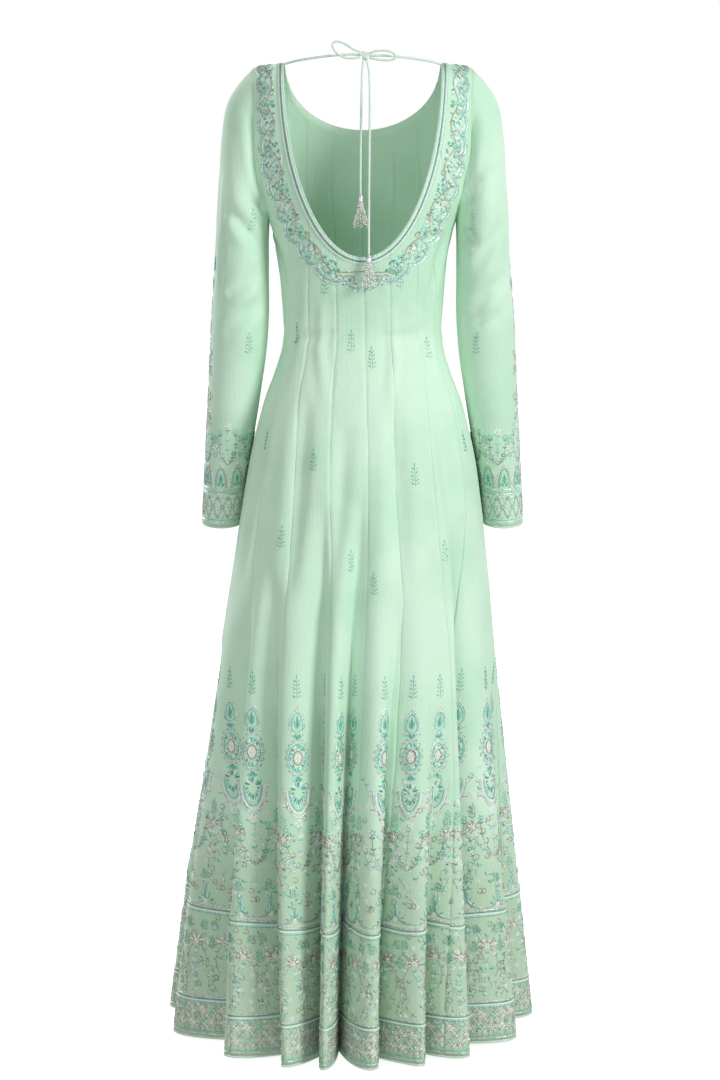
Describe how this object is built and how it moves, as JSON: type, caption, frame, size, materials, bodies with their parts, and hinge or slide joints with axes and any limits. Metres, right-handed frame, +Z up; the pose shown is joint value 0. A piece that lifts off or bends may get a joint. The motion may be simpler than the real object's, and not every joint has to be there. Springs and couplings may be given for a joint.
{
  "type": "anarkali gown",
  "caption": "Floor-length flared gown of narrow princess panels with long fitted sleeves, a deep open back tied by a cord with beaded tassels, and embroidered bands.",
  "frame": {"origin": "midway between the tops of the shoulders, where the wearer holds the gown up", "axes": "+Z up, the front faces -Y, the wearer's left is +X"},
  "size_m": [0.5314, 0.5403, 1.3982],
  "materials": {
    "crepe": "matte pale sea-green crepe with a soft sheen",
    "binding": "satin binding with three rows of cord",
    "piping": "pale satin piping",
    "cord": "rolled crepe cord",
    "tassel": "silver and pearl bead strings"
  },
  "bodies": {
    "root": {"kali_01": "crepe", "kali_02": "crepe", "kali_03": "crepe", "kali_04": "crepe", "kali_05": "crepe", "kali_06": "crepe", "kali_07": "crepe", "kali_08": "crepe", "kali_09": "crepe", "kali_10": "crepe", "kali_11": "crepe", "kali_12": "crepe", "kali_13": "crepe", "kali_14": "crepe", "kali_15": "crepe", "kali_16": "crepe", "sleeve_left": "crepe", "sleeve_right": "crepe", "neck_binding": "binding", "hem_piping": "piping", "cuff_piping_left": "piping", "cuff_piping_right": "piping", "tie_strand_left": "cord", "tie_strand_right": "cord", "bow_loop_left": "cord", "bow_loop_right": "cord", "tie_tail_left": "cord", "tie_tail_right": "cord", "tie_knot": "cord", "tassel_left": "tassel", "tassel_right": "tassel"}
  },
  "joints": []
}
